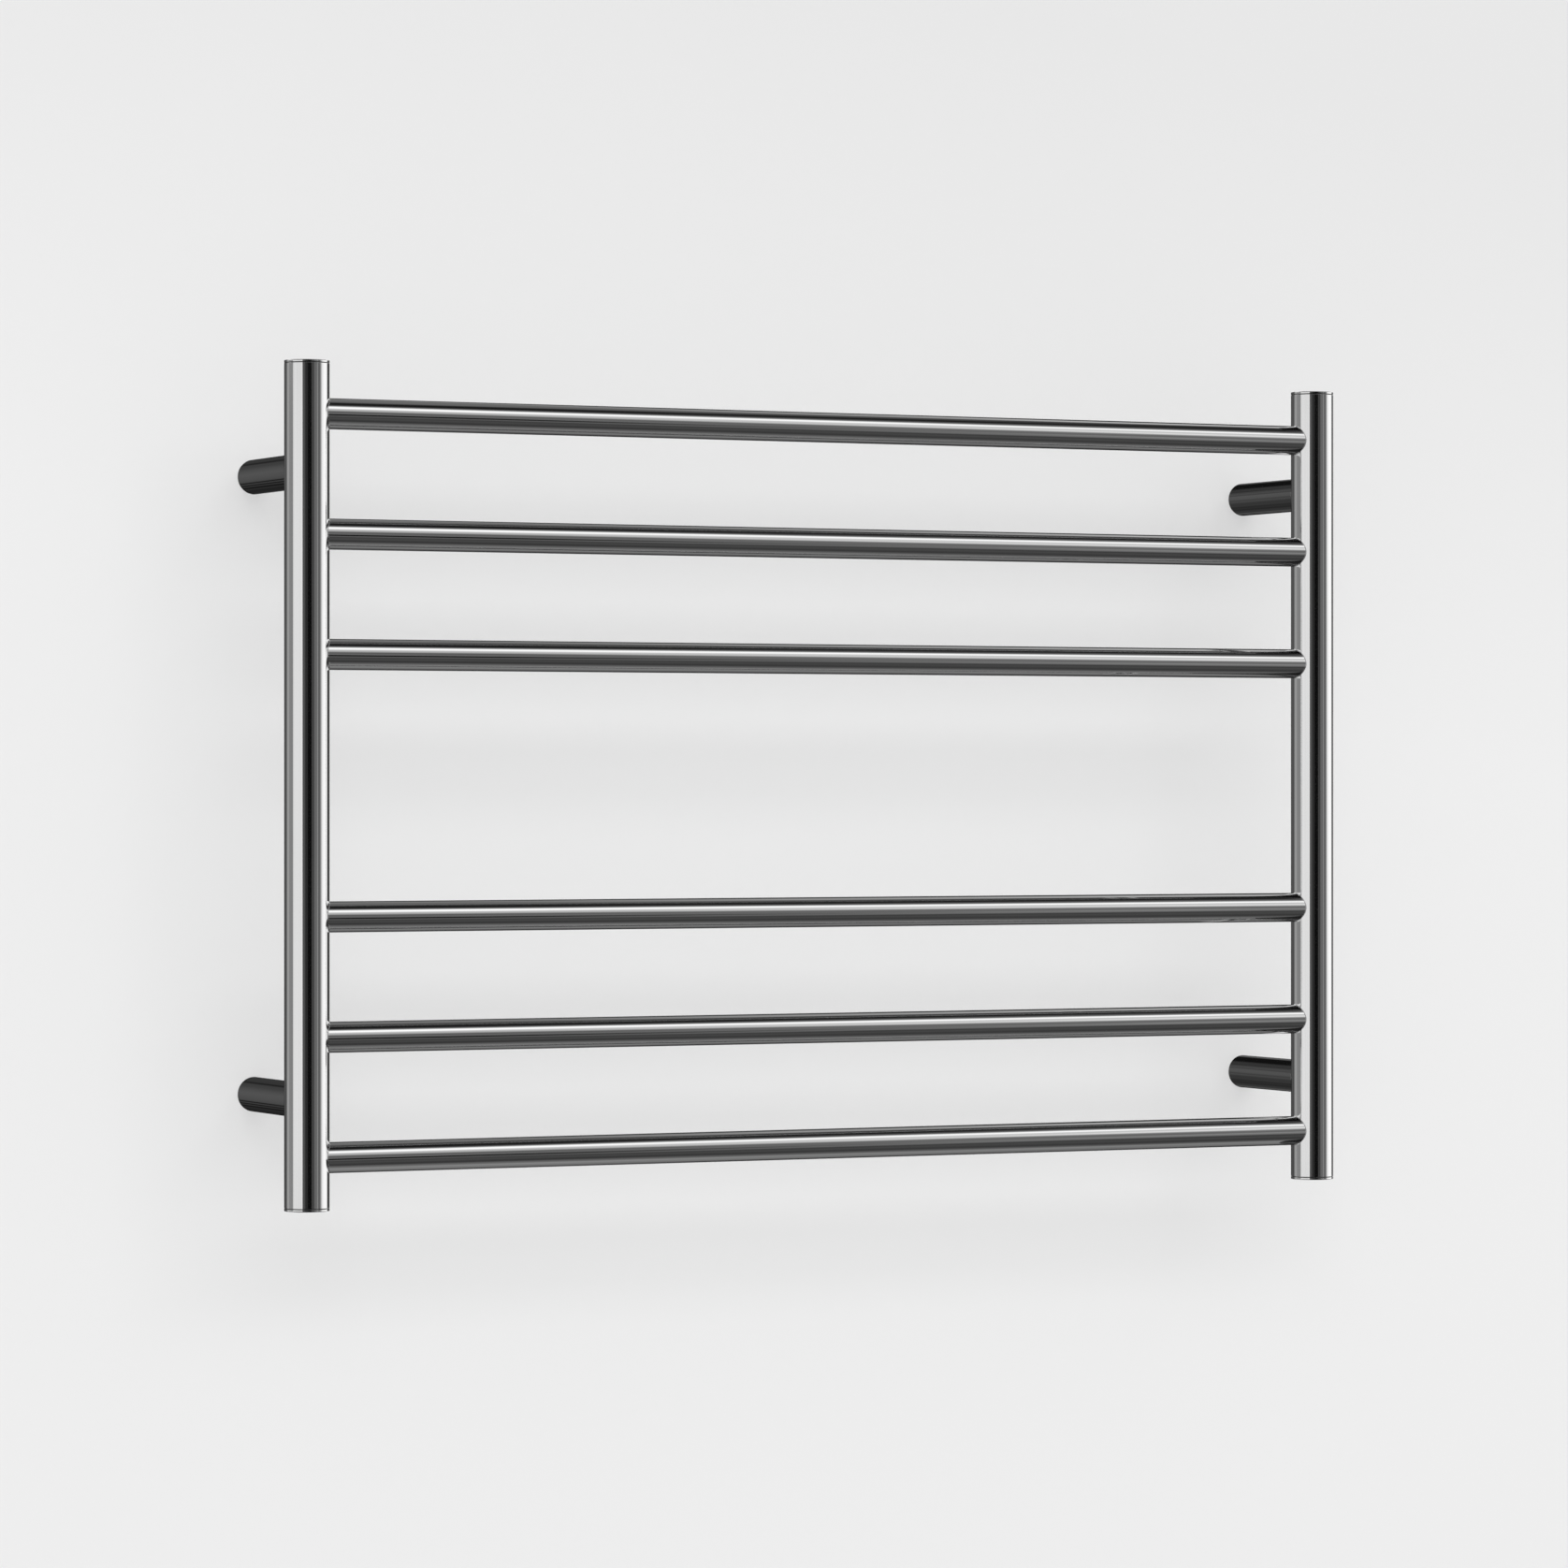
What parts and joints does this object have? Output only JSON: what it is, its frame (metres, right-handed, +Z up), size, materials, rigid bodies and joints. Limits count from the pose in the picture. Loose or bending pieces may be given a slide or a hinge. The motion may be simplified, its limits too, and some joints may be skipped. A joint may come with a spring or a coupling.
{
  "type": "towel warmer rack",
  "caption": "Wall-hung electric towel warmer: two upright round posts joined by coped round crossbars in an upper and a lower group, on four tubular stand-off legs.",
  "frame": {"origin": "on the wall plane, midway between the four fixing points", "axes": "+X to the right as seen from the front, along the crossbars; +Y into the wall; +Z up, along the posts"},
  "size_m": [0.85, 0.123, 0.6],
  "materials": {
    "polished_stainless": "mirror polished stainless steel",
    "turned_stainless": "satin, as turned",
    "black_steel": "matte black oxide",
    "tinned_copper": "satin tin plate",
    "red_silicone": "satin",
    "black_sleeve": "satin heat-shrink",
    "grey_rubber": "matte",
    "ceramic": "matte",
    "earth_insulation": "satin"
  },
  "bodies": {
    "root": {"post_left": "polished_stainless", "post_right": "polished_stainless", "crossbar_1": "polished_stainless", "crossbar_2": "polished_stainless", "crossbar_3": "polished_stainless", "crossbar_4": "polished_stainless", "crossbar_5": "polished_stainless", "crossbar_6": "polished_stainless", "leg_top_left": "polished_stainless", "leg_top_right": "polished_stainless", "leg_bottom_left": "polished_stainless", "leg_bottom_right": "polished_stainless", "cap_top_left": "polished_stainless", "cap_top_right": "polished_stainless", "cap_bottom_left": "polished_stainless", "cap_bottom_right": "polished_stainless", "wall_insert_top_left": "turned_stainless", "wall_insert_top_right": "turned_stainless", "wall_insert_bottom_left": "turned_stainless", "wall_insert_bottom_right": "turned_stainless", "grub_screw_top_left": "black_steel", "grub_screw_top_right": "black_steel", "grub_screw_bottom_left": "black_steel", "grub_screw_bottom_right": "black_steel", "heating_cable": "red_silicone", "end_seal": "black_sleeve", "cable_joint": "black_sleeve", "thermal_limiter": "ceramic", "entry_grommet": "grey_rubber", "earth_lug": "tinned_copper", "earth_nut": "turned_stainless", "earth_wire": "earth_insulation"}
  },
  "joints": []
}
